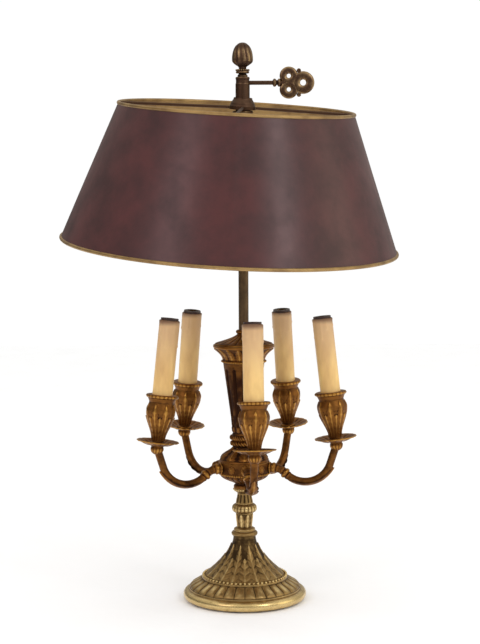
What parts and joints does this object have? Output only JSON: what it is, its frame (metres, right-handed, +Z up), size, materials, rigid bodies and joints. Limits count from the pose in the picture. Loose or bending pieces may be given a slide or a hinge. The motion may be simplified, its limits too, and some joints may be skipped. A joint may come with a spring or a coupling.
{
  "type": "table lamp",
  "caption": "Bouillotte lamp: round bell foot, scrolled candle arms on a hub, fluted column, and a wide painted metal shade that slides and turns on its pole, held by a key screw.",
  "frame": {"origin": "centre of the felt pad's lower face, on the surface that the lamp stands on", "axes": "+Z up along the pole; -Y is the front of the lamp; +X is to the right seen from the front"},
  "size_m": [0.4089, 0.4078, 0.6725],
  "materials": {
    "gilt_brass": "aged gilt",
    "dark_brass": "dark patina",
    "brown_brass": "brown patina",
    "ivory_sleeve": "satin ivory",
    "phenolic": "dark brown moulded",
    "painted_tole": "aged satin burgundy paint, gilt inside",
    "felt": "green felt",
    "steel": "zinc plated",
    "iron": "black",
    "lead_cover": "insulated"
  },
  "bodies": {
    "stand": {"felt_pad": "felt", "bottom_plate": "steel", "foot_weight": "iron", "foot": "gilt_brass", "rod_nut": "gilt_brass", "rod_washer": "steel", "cord_bushing": "phenolic", "tie_rod": "brown_brass", "main_lead": "lead_cover", "lower_stem": "gilt_brass", "hub_bowl": "dark_brass", "hub_lid": "dark_brass", "arm_nuts": "gilt_brass", "arm_leads": "lead_cover", "nipples": "gilt_brass", "nipple_nuts": "gilt_brass", "arm_1": "dark_brass", "arm_2": "dark_brass", "arm_3": "dark_brass", "arm_4": "dark_brass", "arm_5": "dark_brass", "drip_pan_1": "dark_brass", "drip_pan_2": "dark_brass", "drip_pan_3": "dark_brass", "drip_pan_4": "dark_brass", "drip_pan_5": "dark_brass", "candle_cup_1": "dark_brass", "candle_cup_2": "dark_brass", "candle_cup_3": "dark_brass", "candle_cup_4": "dark_brass", "candle_cup_5": "dark_brass", "candle_sleeve_1": "ivory_sleeve", "candle_sleeve_2": "ivory_sleeve", "candle_sleeve_3": "ivory_sleeve", "candle_sleeve_4": "ivory_sleeve", "candle_sleeve_5": "ivory_sleeve", "socket_1": "phenolic", "socket_2": "phenolic", "socket_3": "phenolic", "socket_4": "phenolic", "socket_5": "phenolic", "column": "dark_brass", "column_cap": "dark_brass", "pole": "brown_brass", "finial": "gilt_brass"},
    "carrier": {"shade_carrier": "gilt_brass"},
    "key": {"key_screw": "gilt_brass"},
    "shade": {"spider_hub": "gilt_brass", "spoke_1": "gilt_brass", "spoke_2": "gilt_brass", "spoke_3": "gilt_brass", "spoke_4": "gilt_brass", "shade_shell": "painted_tole", "upper_rim": "gilt_brass", "lower_rim": "gilt_brass"}
  },
  "joints": [
    {"name": "shade_height", "type": "slide", "parent": "stand", "child": "carrier", "axis": [0, 0, 1], "range_m": [-0.2, 0.0035]},
    {"name": "shade_swivel", "type": "hinge", "parent": "carrier", "child": "shade", "pos_m": [0, 0, 0.5995], "axis": [0, 0, 1], "continuous": true},
    {"name": "key_turn", "type": "hinge", "parent": "carrier", "child": "key", "pos_m": [0.03, 0, 0.625], "axis": [1, 0, 0], "range_deg": [0, 360]}
  ]
}
